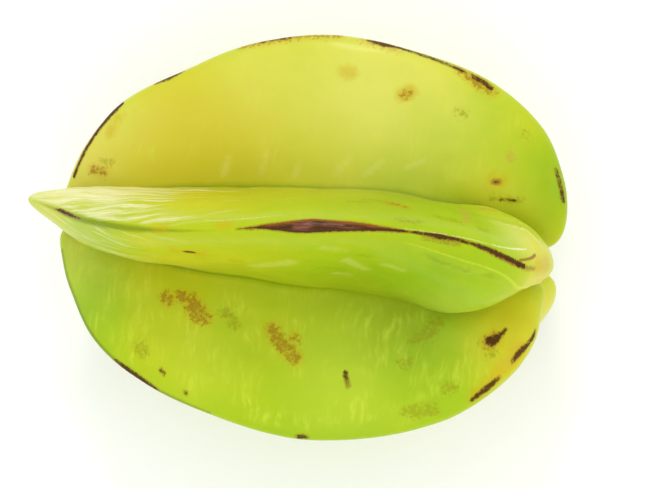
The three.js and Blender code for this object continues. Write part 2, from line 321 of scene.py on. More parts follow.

# Soft washes of ripeness, of pale tint with painted sheen, of painted shade and of painted light,
# for each field and rib: station, across, reach in mm, amount.
WASHES = {
    ("ripe", 1): [
        (12.4, -0.75, 14, 0.26), (10.6, -0.65, 18, 0.20), (8.5, -0.85, 12, 0.06),
        (5.6, -0.80, 14, -0.16), (4.8, -0.10, 12, -0.34), (5.0, -0.12, 9, -0.14),
        (4.6, -0.70, 9, 0.30), (6.8, -0.05, 12, -0.16), (12.2, 0.0, 7, -0.30),
        (10.2, 0.0, 6, -0.14),
    ],
    ("ripe", 0): [
        (12.6, 0.5, 12, 0.12), (10.5, 0.6, 14, 0.12), (9.0, 0.5, 12, 0.06), (7.2, 0.45, 11, -0.06),
        (5.2, 0.0, 7, 0.50), (12.4, -0.4, 10, -0.16), (10.3, -0.4, 12, 0.12),
        (8.6, -0.5, 11, -0.10), (7.0, -0.5, 14, -0.26),
    ],
    ("ripe", 4): [
        (11.6, 0.65, 13, 0.18), (9.6, 0.55, 12, 0.06), (7.0, 0.55, 14, -0.14),
        (9.0, 0.10, 10, -0.10), (4.9, 0.40, 10, 0.32), (6.0, 0.10, 8, 0.14), (12.4, 0.10, 9, -0.30),
        (8.4, 0.05, 8, -0.12),
    ],
    ("ripe", 3): [(4.2, 0.0, 9, 0.26)],
    # Painted shade: darker olive washes, mostly beside the grooves.
    ("dusk", 1): [(4.8, -0.12, 11, 0.30)],
    ("dusk", 0): [
        (7.8, 0.45, 12, 0.42), (9.6, 0.50, 12, 0.28), (11.0, 0.60, 10, 0.15),
        (8.4, -0.75, 10, 0.30), (7.4, -0.80, 9, 0.30),
    ],
    ("dusk", 4): [(6.6, 0.80, 9, 0.25)],
    # Painted light: lighter straw washes on the flanks of ribs 1 and 4.
    ("bright", 1): [(4.6, -0.65, 8, 0.22), (9.0, -0.5, 22, 0.12)],
    ("bright", 4): [(8.3, 0.42, 11, 0.42), (10.3, 0.35, 10, 0.22), (12.2, 0.35, 8, 0.12)],
    # Pale tint, partly painted sheen: the paler band high on rib 1, the lit lobe of the nose and
    # the lit end of rib 3 are painted light, while the pallor at the blossom end is the skin's own.
    ("pallor", 1): [
        (12.8, -0.2, 9, 0.22), (8.3, -0.36, 16, 0.42), (10.0, -0.28, 13, 0.26),
        (11.8, -0.35, 10, 0.16), (6.9, -0.40, 9, 0.12),
    ],
    ("pallor", 0): [
        (13.6, 0.3, 10, 0.34), (13.6, -0.4, 10, 0.12), (5.7, 0.25, 6, 0.34), (6.2, -0.55, 8, 0.10),
    ],
    ("pallor", 4): [(13.2, 0.45, 9, 0.12)],
    ("pallor", 3): [(4.0, 0.0, 8, 0.24)],
}

# How ripe each rib is before the washes: 0 is leaf green and 1 is deep yellow.
RIB_RIPENESS = (0.50, 0.73, 0.56, 0.50, 0.45)

MARK_KINDS = ("line", "umber", "rust", "stain", "blush", "olive", "shade", "pale", "rim")
FIELD_REACH = 6.0
UNSEEN_MARK_SEED = 11
UNSEEN_MARKS = 34
UNSEEN_FLANKS = ((1, 1), (2, -1), (2, 1), (3, -1), (3, 1), (4, -1))
UNSEEN_WASH_SEED = 5
UNSEEN_WASHES = 16
UNSEEN_CREST_LINES = (
    (2, 6.2, 7.0), (2, 9.8, 10.9), (2, 12.4, 13.3), (3, 7.6, 9.1), (3, 11.2, 12.4),
)
# Lights of the studio: name, place in metres, size in metres, name of its power.
LIGHTS = [
    ("key_light", (-0.10, 0.66, 0.72), 0.22, "key_power"),
    ("side_light", (0.05, -0.66, 0.72), 0.90, "side_power"),
    ("end_light", (0.80, -0.10, 0.50), 0.40, "end_power"),
]
LIGHT_AIM = (0.0, 0.0, 0.03)
# How strongly pale streaks run along and across each rib.
STREAKS_ALONG = (1.0, 0.0, 0.35, 0.25, 0.0)
STREAKS_ACROSS = (0.12, 0.40, 0.6, 0.7, 1.0)
# The top rib's crest in the fan map, and how far its fibres lean away from the crest.
CREST_COLUMN = 0.1
FIBRE_SLANT = 0.22
# Room for each rib in the measure map, in mm, so that no two ribs share a place.
RIB_ROOM = 200
# How much wider the middle steps across a flank are than its end steps, as a share.
STEP_BULGE = 0.4
# Points of a mark's line to one station.
LINE_POINTS = 6
STALK_SCAR_RADIUS = 2.0
BLOSSOM_SCAR_RADIUS = 1.3
FLOOR_DIM = 0.985


def spline(rows, t):
    """Smooth line through evenly spaced rows, read at the fractions t."""
    rows = np.asarray(rows, dtype=float)
    place = np.asarray(t, dtype=float) * (len(rows) - 1)
    index = np.clip(np.floor(place).astype(int), 0, len(rows) - 2)
    w = (place - index)[:, None]
    before = rows[np.maximum(index - 1, 0)]
    here = rows[index]
    after = rows[index + 1]
    beyond = rows[np.minimum(index + 2, len(rows) - 1)]
    slope_here = (after - before) / 2
    slope_after = (beyond - here) / 2
    cubic = 2 * here - 2 * after + slope_here + slope_after
    square = -3 * here + 3 * after - 2 * slope_here - slope_after
    return cubic * w**3 + square * w**2 + slope_here * w + here


def outwards(angle):
    """Direction straight out from the fruit's axis."""
    return np.stack([np.zeros_like(angle), np.sin(angle), np.cos(angle)], axis=-1)


def sideways(angle):
    """Direction round the fruit's axis."""
    return np.stack([np.zeros_like(angle), np.cos(angle), -np.sin(angle)], axis=-1)


def rib_rows(rib):
    """x, radius, drift, level run, swell to the next and to the previous rib, at each station."""
    rows = []
    for station, (x, radius, _, _, level, _, bulge) in enumerate(STATIONS):
        along, out, drift = rib["crest"].get(station, NO_STRAY)
        swell_next, swell_previous, level_extra = rib["flank"].get(station, NO_STRAY)
        rows.append(
            (x + along, radius + out, drift, level + level_extra,
             bulge + swell_next, bulge + swell_previous)
        )
    return rows


def groove_rows(strays):
    """x, radius, turn and level run of a groove at each station."""
    rows = []
    for station, (_, _, x, radius, _, level, _) in enumerate(STATIONS):
        along, out, turn = strays.get(station, NO_STRAY)
        rows.append((x + along, radius + out, turn, level))
    return rows


def flank(rib, side, t, q):
    """Points of one flank, a row for each t; q runs from 0 on the crest to 1 in the groove."""
    t = np.asarray(t, dtype=float)
    q = np.asarray(q, dtype=float)[None, :, None]
    crest_row = spline(rib_rows(RIBS[rib]), t)
    groove_index = rib if side > 0 else (rib + RIB_COUNT - 1) % RIB_COUNT
    groove_row = spline(groove_rows(GROOVES[groove_index]), t)
    rib_angle = np.full(len(t), rib * RIB_ANGLE)
    groove_angle = rib_angle + side * RIB_ANGLE / 2 + np.radians(groove_row[:, 2])
    x_axis = np.array([1.0, 0.0, 0.0])
    round_rib = sideways(rib_angle)
    crest = crest_row[:, :1] * x_axis + crest_row[:, 1:2] * outwards(rib_angle)
    crest = crest + crest_row[:, 2:3] * round_rib
    bottom = groove_row[:, :1] * x_axis + groove_row[:, 1:2] * outwards(groove_angle)
    swell = crest_row[:, 4:5] if side > 0 else crest_row[:, 5:6]
    beside_crest = crest + side * crest_row[:, 3:4] * round_rib
    middle = (crest + bottom) / 2 + side * swell * round_rib
    beside_groove = bottom - side * groove_row[:, 3:4] * sideways(groove_angle)
    p = 1 - q
    return (
        p**4 * crest[:, None]
        + 4 * q * p**3 * beside_crest[:, None]
        + 6 * q**2 * p**2 * middle[:, None]
        + 4 * q**3 * p * beside_groove[:, None]
        + q**4 * bottom[:, None]
    )


def place_point(rib, place):
    """The point of the even skin at a place on a rib."""
    station, across = place
    side = 1 if across >= 0 else -1
    return flank(rib, side, [station / LAST_STATION], [abs(across)])[0, 0]


def flank_steps(count):
    """Fractions across a flank, set so that the steps on the skin are nearly even."""
    even = np.arange(count + 1) / count
    return even + STEP_BULGE * np.sin(2 * np.pi * even) / (2 * np.pi)


class SkinGrid:
    """The skin as rings of points: grid[ring, column], with what each point knows of its place."""

    def __init__(self, rings, columns_per_flank):
        self.rings = rings
        self.per_flank = columns_per_flank
        self.columns = 2 * RIB_COUNT * columns_per_flank
        self.t = np.arange(1, rings) / rings
        self.station = self.t * LAST_STATION
        steps = flank_steps(columns_per_flank)
        flanks = []
        for rib in range(RIB_COUNT):
            flanks.append(flank(rib, -1, self.t, steps)[:, ::-1])
            flanks.append(flank(rib, 1, self.t, steps))
        self.points = np.concatenate([sheet[:, :-1] for sheet in flanks], axis=1)
        self.flank_gap = []
        groove_gap = []
        for number, sheet in enumerate(flanks):
            gaps = np.linalg.norm(np.diff(sheet, axis=1), axis=2)
            run = np.concatenate([np.zeros((len(self.t), 1)), np.cumsum(gaps, axis=1)], axis=1)
            rising = number % 2 == 0
            self.flank_gap.append(run - run[:, -1:] if rising else run)
            groove_gap.append(run if rising else run[:, -1:] - run)
        self.crest_gap = np.abs(np.concatenate([run[:, :-1] for run in self.flank_gap], axis=1))
        self.groove_gap = np.concatenate([run[:, :-1] for run in groove_gap], axis=1)
        self.rib_of = np.arange(self.columns) // (2 * columns_per_flank)
        self.across = np.tile(np.concatenate([-steps[:0:-1], steps[:-1]]), RIB_COUNT)
        self.stem = np.array([STATIONS[0][0], 0.0, 0.0])
        self.blossom = np.array([STATIONS[-1][0], 0.0, 0.0])
        self.crest_run = []
        for rib in range(RIB_COUNT):
            line = self.points[:, rib * 2 * columns_per_flank + columns_per_flank]
            line = np.concatenate([self.stem[None], line, self.blossom[None]])
            gaps = np.linalg.norm(np.diff(line, axis=0), axis=1)
            self.crest_run.append(np.concatenate([[0.0], np.cumsum(gaps)]))

    def normals(self):
        """Outward unit normals of the rings."""
        whole = np.concatenate(
            [np.broadcast_to(self.stem, self.points[:1].shape), self.points,
             np.broadcast_to(self.blossom, self.points[:1].shape)]
        )
        down = whole[2:] - whole[:-2]
        around = np.roll(self.points, -1, axis=1) - np.roll(self.points, 1, axis=1)
        normal = np.cross(around, down)
        return normal / np.maximum(np.linalg.norm(normal, axis=2, keepdims=True), 1e-9)


def line_outside(points, line, widths):
    """How far points are outside a line that has a half width at each of its own points."""
    best = np.full(points.shape[:-1], FIELD_REACH)
    for a, b, width_a, width_b in zip(line, line[1:], widths, widths[1:]):
        length = max(np.linalg.norm(b - a), 1e-6)
        step = (b - a) / length
        run = np.clip((points - a) @ step, 0, length)
        gap = np.linalg.norm(points - (a + run[..., None] * step), axis=-1)
        best = np.minimum(best, gap - (width_a + (width_b - width_a) * run / length))
    return best


def line_on_rib(rib, places):
    """A line of places as points and half widths, with more between so that it follows the skin."""
    line = []
    widths = []
    for start, end in zip(places, places[1:]):
        pieces = max(2, int(abs(end[0] - start[0]) * LINE_POINTS))
        for piece in range(pieces):
            w = piece / pieces
            station, across, width = (a + (b - a) * w for a, b in zip(start, end))
            line.append(place_point(rib, (station, across)))
            widths.append(width)
    station, across, width = places[-1]
    line.append(place_point(rib, (station, across)))
    widths.append(width)
    return line, widths


def unseen_marks(draw):
    """Small marks for the flanks that the photograph doesn't show."""
    marks = []
    for _ in range(UNSEEN_MARKS):
        rib, side = draw.choice(UNSEEN_FLANKS)
        kind = draw.choice(("rust", "olive", "stain", "stain", "pale", "line"))
        station = draw.uniform(4.5, 12.5)
        across = draw.uniform(0.12, 0.8)
        reach = draw.uniform(0.05, 0.3)
        width = draw.uniform(0.4, 1.1) * (0.6 if kind == "line" else 1.0)
        start = (station, side * across, width)
        end = (station + reach, side * (across + draw.uniform(-0.06, 0.06)), width * 0.7)
        marks.append((kind, rib, [start, end]))
    for rib, start, end in UNSEEN_CREST_LINES:
        width = draw.uniform(0.4, 0.8)
        middle = (start + end) / 2
        marks.append(("line", rib, [(start, 0.0, 0.3), (middle, 0.01, width), (end, 0.02, 0.3)]))
        marks.append(("rust", rib, [(start - 0.3, 0.02, 0.4), (start, 0.0, width)]))
    return marks


def rows_of(table):
    """The rows of a table that is grouped by kind and rib, each with its kind and rib."""
    return [(kind, rib, row) for (kind, rib), rows in table.items() for row in rows]


def unseen_washes(draw):
    """Soft washes for the flanks that the photograph doesn't show."""
    washes = []
    for _ in range(UNSEEN_WASHES):
        rib, side = draw.choice(UNSEEN_FLANKS)
        station, across = draw.uniform(4.5, 13.0), side * draw.uniform(0.2, 0.9)
        field = draw.choice(("ripe", "ripe", "pallor"))
        amount = draw.uniform(-0.2, 0.28) if field == "ripe" else draw.uniform(0.1, 0.3)
        washes.append((field, rib, (station, across, draw.uniform(9, 18), amount)))
    return washes


def mark_fields(grid, marks):
    """For each kind of mark, how far each point is outside the nearest one, in mm."""
    fields = {kind: np.full(grid.points.shape[:2], FIELD_REACH) for kind in MARK_KINDS}
    for kind, rib, places in marks:
        columns = np.flatnonzero(grid.rib_of == rib)
        outside = line_outside(grid.points[:, columns], *line_on_rib(rib, places))
        fields[kind][:, columns] = np.minimum(fields[kind][:, columns], outside)
    return fields


def fine_fields(grid, lines):
    """For each kind of fine line, how far each point is to its side and its half width, in mm."""
    shape = grid.points.shape[:2]
    fields = {kind + "_side": np.full(shape, FIELD_REACH) for kind in FINE_KINDS}
    fields.update({kind + "_width": np.full(shape, -FIELD_REACH) for kind in FINE_KINDS})
    signed_gap = grid.crest_gap * np.sign(grid.across)
    for kind, rib, places in lines:
        stations, across, widths = (np.array(values) for values in zip(*places))
        columns = np.flatnonzero(grid.rib_of == rib)
        for ring in np.flatnonzero((grid.station >= stations[0]) & (grid.station <= stations[-1])):
            gaps = signed_gap[ring, columns]
            place = np.interp(grid.station[ring], stations, across)
            line_gap = np.interp(place, grid.across[columns], gaps)
            fields[kind + "_side"][ring, columns] = gaps - line_gap
            fields[kind + "_width"][ring, columns] = np.interp(grid.station[ring], stations, widths)
    return fields


def wash_fields(grid, washes):
    """Ripeness, pale tint with painted sheen, painted shade and painted light of each point."""
    base = np.array(RIB_RIPENESS)
    column = np.arange(grid.columns)
    turn = (column / grid.columns * RIB_COUNT - 0.5) % RIB_COUNT
    low = np.floor(turn).astype(int)
    part = soft_step(turn - low, 0, 1)
    ripe_round = base[low % RIB_COUNT] * (1 - part) + base[(low + 1) % RIB_COUNT] * part
    fields = {name: np.zeros(grid.points.shape[:2]) for name in WASH_FIELDS}
    fields["ripe"] += ripe_round
    for field, rib, (station, across, reach, amount) in washes:
        gap = np.linalg.norm(grid.points - place_point(rib, (station, across)), axis=2)
        fields[field] += amount * np.exp(-((gap / reach) ** 2))
    return fields


def soft_step(value, low, high):
    """0 below low, 1 above high, smooth between."""
    w = np.clip((value - low) / (high - low), 0, 1)
    return w * w * (3 - 2 * w)


def streak_fields(grid):
    """How strongly pale streaks show: along the ribs from the blossom end, and across the ribs."""
    station = grid.station[:, None]
    away = np.abs(grid.across)[None, :]
    upper = np.where(grid.across > 0, 1.0, 0.5)[None, :]
    along_by_rib = np.array(STREAKS_ALONG)[grid.rib_of][None, :]
    across_by_rib = np.array(STREAKS_ACROSS)[grid.rib_of][None, :]
    along = along_by_rib * upper * soft_step(station, 8.9, 12.3) * soft_step(away, 0.01, 0.06)
    middle = soft_step(station, 4.4, 6.5) * (1 - soft_step(station, 13.5, 15.0))
    between = soft_step(away, 0.06, 0.2) * (1 - 0.7 * soft_step(away, 0.65, 0.95))
    across = across_by_rib * middle * between
    return along, across


def relief(grid, form):
    """Height of each point over the even skin, in mm."""
    height = np.zeros(grid.points.shape[:2])
    flat = grid.points.reshape(-1, 3)
    swells = [
        fractal.fractal(Vector(point) / form.wave_length, 1.0, 2.0, 3) for point in flat.tolist()
    ]
    calm = 0.35 + 0.65 * soft_step(grid.crest_gap, 0.5, 5.0)
    height += form.wave_height * np.array(swells).reshape(height.shape) * calm
    columns = np.flatnonzero(grid.rib_of == 0)
    for sign, lines in ((1, RIMS), (-1, FURROWS)):
        for half_width, rise, places in lines:
            line, widths = line_on_rib(0, [(station, across, 0.0) for station, across in places])
            gap = line_outside(grid.points[:, columns], line, widths)
            height[:, columns] += sign * rise * form.rim_height * np.exp(-((gap / half_width) ** 2))
    ends = soft_step(grid.station, 0.6, 2.0) * (1 - soft_step(grid.station, 14.6, 15.8))
    return height * ends[:, None]


def tone(name, description, value):
    """A colour property."""
    return bpy.props.FloatVectorProperty(
        name=name, description=description, subtype="COLOR", default=value)


def number(name, description, value, **limits):
    """A property that holds one number."""
    return bpy.props.FloatProperty(name=name, description=description, default=value, **limits)


def share(name, description, value):
    """A property from 0 to 1."""
    return number(name, description, value, subtype="FACTOR", min=0, max=1)


class FRUIT_PG_form(bpy.types.PropertyGroup):
    rings: bpy.props.IntProperty(
        name="Rings", description="Steps along the fruit", default=214, min=60, max=240)
    columns_per_flank: bpy.props.IntProperty(
        name="Columns per flank", description="Steps from a crest to a groove",
        default=40, min=8, max=44)
    wave_length: number("Wave length", "Size of the gentle waves of the flanks, in mm", 11.0)
    wave_height: number("Wave height", "Height of the gentle waves of the flanks, in mm", 0.32)
    rim_height: number("Rim height", "Share of the full height of the rims on the nose", 1.0)


class FRUIT_PG_finish(bpy.types.PropertyGroup):
    green: tone("Green", "Unripe skin", (0.180, 0.385, 0.005))
    lime: tone("Lime", "Half ripe skin", (0.347, 0.505, 0.007))
    yellow: tone("Yellow", "Ripe skin", (0.560, 0.565, 0.016))
    gold: tone("Gold", "Fully ripe skin", (0.590, 0.510, 0.012))
    # Pale is the skin's pale tint, and is also laid as painted sheen and as painted highlights on
    # the rims.
    pale: tone("Pale", "Pale, waxy parts of the skin", (0.770, 0.745, 0.230))
    # Cream is laid for the real streaks at the blossom end, and also as the painted highlight above
    # the crest.
    cream_and_gleam: tone("Cream", "Streaks at the blossom end", (0.830, 0.800, 0.470))
    # Groove shade is painted shade: laid towards the grooves and in the shade washes.
    groove_shade: tone("Groove", "Skin in the valleys and dull patches", (0.275, 0.335, 0.003))
    scar: tone("Scar", "Dark part of the long scar", (0.045, 0.007, 0.004))
    # Painted highlights on the long scar.
    scar_highlight: tone("Scar light", "Light part of the long scar", (0.230, 0.070, 0.062))
    line: tone("Line", "Dark lines along the crests", (0.045, 0.009, 0.001))
    umber: tone("Umber", "Reddish-brown edges of the lines and the scar", (0.250, 0.062, 0.010))
    rust: tone("Rust", "Russet rub marks", (0.330, 0.150, 0.005))
    stain: tone("Stain", "Soft amber spots", (0.560, 0.360, 0.004))
    olive: tone("Olive", "Faint brown-green rubs", (0.270, 0.250, 0.004))
    blush: tone("Blush", "Reddish tinges", (0.560, 0.260, 0.070))
    leaf: tone("Leaf", "Green lines along the crests", (0.120, 0.190, 0.003))
    # Painted shade for the crease lines of the grooves and the furrow of the nose.
    shade: tone("Shade", "Creases of the grooves", (0.120, 0.210, 0.001))
    # Straw is laid for the real streaks across the ribs, and also as painted light in the light
    # washes and along the nose's lower rim.
    straw_and_painted_light: tone("Straw", "Soft streaks across the ribs", (0.610, 0.710, 0.060))
    cork: tone("Cork", "Stalk scar and blossom scar", (0.260, 0.150, 0.050))
    roughness: share("Roughness", "Roughness of clean skin", 0.36)
    gloss: share("Gloss", "Reflection of the skin under its wax", 0.12)
    wax: share("Wax", "Strength of the waxy coat", 0.12)
    wax_roughness: share("Wax roughness", "Roughness of the waxy coat", 0.13)
    glow: share("Glow", "Light that passes through the flesh", 0.25)


class FRUIT_PG_studio(bpy.types.PropertyGroup):
    floor_colour: tone("Floor colour", "Plain pale floor", (0.97, 0.97, 0.97))
    floor_size: number("Floor size", "Side of the floor", 6.0, unit="LENGTH")
    camera_distance: number("Camera distance", "From the middle of the fruit", 0.5, unit="LENGTH")
    camera_lens: number("Lens", "Focal length in millimetres", 138.5)
    camera_tilt: number(
        "Tilt", "Lean of the view towards the lower ribs", math.radians(4.35), subtype="ANGLE")
    camera_yaw: number(
        "Yaw", "Lean of the view towards the stem end", math.radians(8.0), subtype="ANGLE")
    camera_roll: number(
        "Roll", "Turn of the fruit in the picture", math.radians(5.2), subtype="ANGLE")
    aim_shift: bpy.props.FloatVectorProperty(
        name="Aim shift", description="Where the view is aimed, right and up of the middle, in mm",
        size=2, default=(4.0, -0.9))
    key_power: number("Key light", "Power of the small soft light", 1.7, unit="POWER")
    side_power: number("Side light", "Power of the broad light opposite", 1.5, unit="POWER")
    end_power: number("End light", "Power of the light at the stem end", 0.6, unit="POWER")
    fill_strength: number("Fill", "Strength of the even light from all round", 1.0)


def along_fruit(point):
    """A point or direction of the fruit, in mm, turned as the fruit lies, in metres."""
    x, y, z = (float(value) * MM for value in point)
    cosine, sine = math.cos(REST_PITCH), math.sin(REST_PITCH)
    return Vector((x * cosine + z * sine, y, z * cosine - x * sine))


def lying_offset(grid):
    """From the fruit's own middle to its place in the frame, in metres."""
    low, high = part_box(NODE)
    placed = np.array([along_fruit(point) for point in grid.points.reshape(-1, 3)])
    middle = (placed.min(axis=0) + placed.max(axis=0)) / 2
    x, y = ((low[axis] + high[axis]) / 2 - middle[axis] for axis in (0, 1))
    return Vector((x, y, high[2] - placed[:, 2].max()))


def sphere_place(co, grid):
    """Ring and column of a vertex of the unit sphere that the skin is shaped from."""
    ring = round(math.acos(max(-1.0, min(1.0, co.z))) / math.pi * grid.rings)
    turn = math.atan2(co.y, co.x) / (2 * math.pi)
    column = (-round(turn * grid.columns)) % grid.columns
    return ring, column


def skin_mesh(grid, points, fields, offset):
    """A sphere shaped into the skin, with the fields on its points and two maps on its faces."""
    mesh = bpy.data.meshes.new("star_fruit_skin")
    bm = bmesh.new()
    bmesh.ops.create_uvsphere(bm, u_segments=grid.columns, v_segments=grid.rings, radius=1.0)
    layers = {name: bm.verts.layers.float.new(name) for name in fields}
    places = {}
    for vert in bm.verts:
        ring, column = sphere_place(vert.co.copy(), grid)
        places[vert] = (ring, column)
        if ring == 0:
            vert.co = along_fruit(grid.stem) + offset
            row, column = 0, 0
        elif ring == grid.rings:
            vert.co = along_fruit(grid.blossom) + offset
            row, column = grid.rings - 2, 0
        else:
            row = ring - 1
            vert.co = along_fruit(points[row, column]) + offset
        vert.co.z = max(vert.co.z, 0.0)
        for name, layer in layers.items():
            vert[layer] = float(fields[name][row, column])
    fan = bm.loops.layers.uv.new("fan")
    measure = bm.loops.layers.uv.new("measure")
    half = grid.columns // 2
    for face in bm.faces:
        face.smooth = True
        corners = [places[loop.vert] for loop in face.loops]
        columns = [column for ring, column in corners if 0 < ring < grid.rings]
        first = min(columns)
        if max(columns) - first > half:
            first = max(columns)
        number = first // grid.per_flank
        rib = number // 2
        run = grid.flank_gap[number]
        for loop in face.loops:
            ring, column = places[loop.vert]
            row = min(max(ring - 1, 0), grid.rings - 2)
            if ring in (0, grid.rings):
                column = first
            elif column < first:
                column += grid.columns
            gap = run[row, column - number * grid.per_flank] if 0 < ring < grid.rings else 0.0
            loop[fan].uv = (column / grid.columns, ring / grid.rings)
            loop[measure].uv = (((rib + 0.5) * RIB_ROOM + gap) * MM, grid.crest_run[rib][ring] * MM)
    bm.to_mesh(mesh)
    bm.free()
    return mesh


class Nodes:
    """Adds shader nodes to a material, left to right, and links what it is given."""

    def __init__(self, material):
        material.use_nodes = True
        self.tree = material.node_tree
        self.tree.nodes.clear()
        self.made = 0

    def add(self, kind, inputs=None, **settings):
        node = self.tree.nodes.new("ShaderNode" + kind)
        node.location = ((self.made % 12) * 200, -(self.made // 12) * 320)
        self.made += 1
        for name, value in settings.items():
            setattr(node, name, value)
        for name, value in (inputs or {}).items():
            socket = node.inputs[name]
            if isinstance(value, bpy.types.NodeSocket):
                self.tree.links.new(value, socket)
            else:
                socket.default_value = value
        return node

    def field(self, name):
        return self.add("Attribute", attribute_name=name).outputs["Fac"]

    def maths(self, operation, a, b=0.0, c=0.0, clamp=False):
        node = self.add("Math", {0: a, 1: b, 2: c}, operation=operation, use_clamp=clamp)
        return node.outputs[0]

    def times(self, a, b):
        return self.maths("MULTIPLY", a, b)

    def most(self, a, b):
        return self.maths("MAXIMUM", a, b)

    def raised(self, value, extra, amount):
        """A value with so much of another one added."""
        return self.maths("MULTIPLY_ADD", extra, amount, value)

    def stirred(self, value, noise, amount):
        """A value moved up and down by a noise."""
        return self.raised(value, self.centred(noise), amount)

    def centred(self, value):
        """A noise moved so that its middle is 0."""
        return self.maths("SUBTRACT", value, 0.5)

    def step(self, value, low, high):
        """0 where value is low, 1 where it is high, smooth between."""
        node = self.add(
            "MapRange",
            {"Value": value, "From Min": low, "From Max": high, "To Min": 0.0, "To Max": 1.0},
            interpolation_type="SMOOTHSTEP")
        return node.outputs["Result"]

    def blend(self, amount, a, b):
        node = self.add("Mix", {0: amount, 6: a, 7: b}, data_type="RGBA")
        return node.outputs[2]

    def noise(self, where, scale, detail=2.0, roughness=0.5, warp=0.0):
        node = self.add(
            "TexNoise",
            {"Vector": where, "Scale": scale, "Detail": detail, "Roughness": roughness,
             "Distortion": warp})
        return node.outputs["Fac"]

    def stretched(self, where, scale, turn=0.0):
        node = self.add("Mapping", {"Vector": where, "Scale": scale, "Rotation": (0, 0, turn)})
        return node.outputs["Vector"]


def colour(value):
    return (value[0], value[1], value[2], 1.0)


class SkinPaint:
    """The skin's colour, painted on layer by layer."""

    def __init__(self, nodes, base):
        self.nodes = nodes
        self.colour = base

    def layer(self, where, strength, tone):
        """Lays a tone over the skin where a field is near 1."""
        amount = self.nodes.maths("MULTIPLY", where, strength, clamp=True)
        over = tone if isinstance(tone, bpy.types.NodeSocket) else colour(tone)
        self.colour = self.nodes.blend(amount, self.colour, over)
        return amount


def ripe_skin(n, where, mottle, finish):
    """Skin from leaf green to deep yellow by the ripe field, with soft clouds."""
    cloud = n.noise(where, 75.0, 3.0)
    ripe = n.stirred(n.field("ripe"), cloud, 0.34)
    ripe = n.stirred(ripe, mottle, 0.16)
    ramp = n.add("ValToRGB", {"Fac": ripe})
    stops = ramp.color_ramp.elements
    stops[0].position, stops[0].color = 0.0, colour(finish.green)
    stops[1].position, stops[1].color = 1.0, colour(finish.gold)
    for position, middle in ((0.40, finish.lime), (0.75, finish.yellow)):
        stop = stops.new(position)
        stop.color = colour(middle)
    return cloud, ramp.outputs["Color"]


